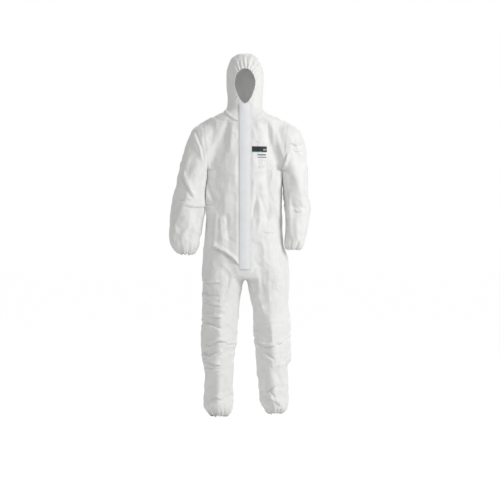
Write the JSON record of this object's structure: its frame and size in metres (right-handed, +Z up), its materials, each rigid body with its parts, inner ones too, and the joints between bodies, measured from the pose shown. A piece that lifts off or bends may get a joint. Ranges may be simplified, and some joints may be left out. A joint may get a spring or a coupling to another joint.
{
  "type": "chemical protective suit",
  "caption": "Hooded one-piece protective coverall of thin white fabric, with a covered front zip and gathered face, cuff and ankle openings.",
  "frame": {"origin": "centre of the neck, level with the wearer's shoulders that carry the suit", "axes": "+Z up the wearer's body, -Y out of the suit's front, +X towards the wearer's left arm"},
  "size_m": [0.7003, 0.2485, 1.796],
  "materials": {
    "fabric": "matt white laminated nonwoven",
    "fabric_fold": "matt white laminated nonwoven, loosely folded",
    "elastic": "covered elastic, gathered",
    "zip_tape": "woven tape",
    "nylon": "satin",
    "slider_metal": "white enamel",
    "adhesive": "release liner",
    "label": "printed film",
    "care_label": "woven satin"
  },
  "bodies": {
    "torso": {"torso_front_right": "fabric", "torso_front_left": "fabric", "torso_back_right": "fabric", "torso_back_left": "fabric", "crotch_gusset": "fabric", "chin_placket_right": "fabric", "chin_placket_left": "fabric", "zip_tape_right": "zip_tape", "zip_tape_left": "zip_tape", "zip_teeth_right": "nylon", "zip_teeth_left": "nylon", "zip_top_stop_right": "slider_metal", "zip_top_stop_left": "slider_metal", "zip_bottom_stop": "slider_metal", "flap_seam_strip": "fabric", "waist_elastic": "elastic", "chest_label": "label", "neck_size_label": "care_label", "hip_fold_right": "fabric_fold", "hip_fold_left": "fabric_fold"},
    "hood": {"hood_centre_panel": "fabric", "hood_panel_right": "fabric", "hood_panel_left": "fabric", "hood_face_elastic": "elastic"},
    "storm_flap": {"storm_flap": "fabric", "flap_adhesive_tape": "adhesive"},
    "zip_slider": {"zip_slider": "slider_metal"},
    "zip_pull_tab": {"zip_pull_tab": "slider_metal"},
    "upper_sleeve_right": {"upper_sleeve_right": "fabric", "elbow_fold_right": "fabric_fold"},
    "lower_sleeve_right": {"lower_sleeve_right": "fabric", "cuff_elastic_right": "elastic"},
    "upper_leg_right": {"upper_leg_right": "fabric", "knee_fold_right": "fabric_fold"},
    "lower_leg_right": {"lower_leg_right": "fabric", "ankle_elastic_right": "elastic"},
    "upper_sleeve_left": {"upper_sleeve_left": "fabric", "elbow_fold_left": "fabric_fold"},
    "lower_sleeve_left": {"lower_sleeve_left": "fabric", "cuff_elastic_left": "elastic"},
    "upper_leg_left": {"upper_leg_left": "fabric", "knee_fold_left": "fabric_fold"},
    "lower_leg_left": {"lower_leg_left": "fabric", "ankle_elastic_left": "elastic"}
  },
  "joints": [
    {"name": "hood_throw_back", "type": "hinge", "parent": "torso", "child": "hood", "pos_m": [0, 0.0913, 0.0679], "axis": [-1, 0, 0], "range_deg": [0, 95]},
    {"name": "flap_open", "type": "hinge", "parent": "torso", "child": "storm_flap", "pos_m": [0.02185, -0.1206, -0.347], "axis": [0, 0, 1], "range_deg": [0, 165]},
    {"name": "zip_run", "type": "slide", "parent": "torso", "child": "zip_slider", "axis": [0, 0, -1], "range_m": [0, 0.765]},
    {"name": "pull_tab_lift", "type": "hinge", "parent": "zip_slider", "child": "zip_pull_tab", "pos_m": [0, -0.1159, 0.0415], "axis": [-1, 0, 0], "range_deg": [0, 124]},
    {"name": "shoulder_raise_right", "type": "hinge", "parent": "torso", "child": "upper_sleeve_right", "pos_m": [-0.212, 0, -0.021], "axis": [0, 1, 0], "range_deg": [0, 90]},
    {"name": "elbow_bend_right", "type": "hinge", "parent": "upper_sleeve_right", "child": "lower_sleeve_right", "pos_m": [-0.285, -0.01, -0.44], "axis": [-1, 0, 0], "range_deg": [0, 90], "deforming": ["elbow_fold_right"]},
    {"name": "hip_swing_right", "type": "hinge", "parent": "torso", "child": "upper_leg_right", "pos_m": [-0.11, 0.006, -0.797], "axis": [-1, 0, 0], "range_deg": [-15, 65], "deforming": ["hip_fold_right"]},
    {"name": "knee_bend_right", "type": "hinge", "parent": "upper_leg_right", "child": "lower_leg_right", "pos_m": [-0.128, 0.004, -1.04], "axis": [1, 0, 0], "range_deg": [0, 90], "deforming": ["knee_fold_right"]},
    {"name": "shoulder_raise_left", "type": "hinge", "parent": "torso", "child": "upper_sleeve_left", "pos_m": [0.212, 0, -0.021], "axis": [0, -1, 0], "range_deg": [0, 90]},
    {"name": "elbow_bend_left", "type": "hinge", "parent": "upper_sleeve_left", "child": "lower_sleeve_left", "pos_m": [0.262, -0.01, -0.44], "axis": [-1, 0, 0], "range_deg": [0, 90], "deforming": ["elbow_fold_left"]},
    {"name": "hip_swing_left", "type": "hinge", "parent": "torso", "child": "upper_leg_left", "pos_m": [0.118, 0.006, -0.797], "axis": [-1, 0, 0], "range_deg": [-15, 65], "deforming": ["hip_fold_left"]},
    {"name": "knee_bend_left", "type": "hinge", "parent": "upper_leg_left", "child": "lower_leg_left", "pos_m": [0.138, 0.004, -1.04], "axis": [1, 0, 0], "range_deg": [0, 90], "deforming": ["knee_fold_left"]}
  ],
  "couplings": [
    {"joint": "pull_tab_lift", "follows": "flap_open", "ratio": 0.75}
  ]
}
